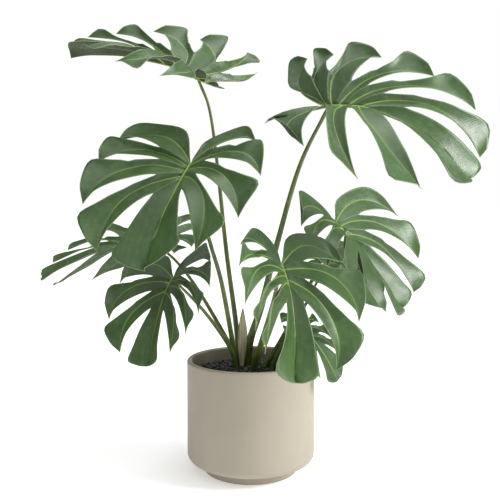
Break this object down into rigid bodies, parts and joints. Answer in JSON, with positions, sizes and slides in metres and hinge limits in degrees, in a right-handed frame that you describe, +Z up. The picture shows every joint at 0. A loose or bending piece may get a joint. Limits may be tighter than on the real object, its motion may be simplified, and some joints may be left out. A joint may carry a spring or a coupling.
{
  "type": "potted monstera plant",
  "caption": "Leafy houseplant with large split heart-shaped leaves on long stalks, growing from a plain cylindrical pot topped with dark gravel.",
  "frame": {"origin": "centre of the pot's flat underside, on the pot's axis", "axes": "+Z up along the pot's axis, the front of the plant faces -Y, +X to the right seen from the front"},
  "size_m": [0.7827, 0.6071, 0.7777],
  "materials": {
    "pot": "satin",
    "soil": "loose damp soil",
    "gravel": "small dark pebbles",
    "leaf": "semi-gloss leaf",
    "stalk": "smooth green stalk",
    "sheath": "dry leaf sheath"
  },
  "bodies": {
    "root": {"pot": "pot", "potting_soil": "soil", "gravel_topping": "gravel", "sheath": "sheath", "leaf_top_left": "leaf", "stalk_top_left": "stalk", "leaf_top_right": "leaf", "stalk_top_right": "stalk", "leaf_front_left": "leaf", "stalk_front_left": "stalk", "leaf_low_left": "leaf", "stalk_low_left": "stalk", "leaf_back_left": "leaf", "stalk_back_left": "stalk", "leaf_front_right": "leaf", "stalk_front_right": "stalk", "leaf_right": "leaf", "stalk_right": "stalk", "leaf_back_right": "leaf", "stalk_back_right": "stalk", "leaf_low_right": "leaf", "stalk_low_right": "stalk"}
  },
  "joints": []
}
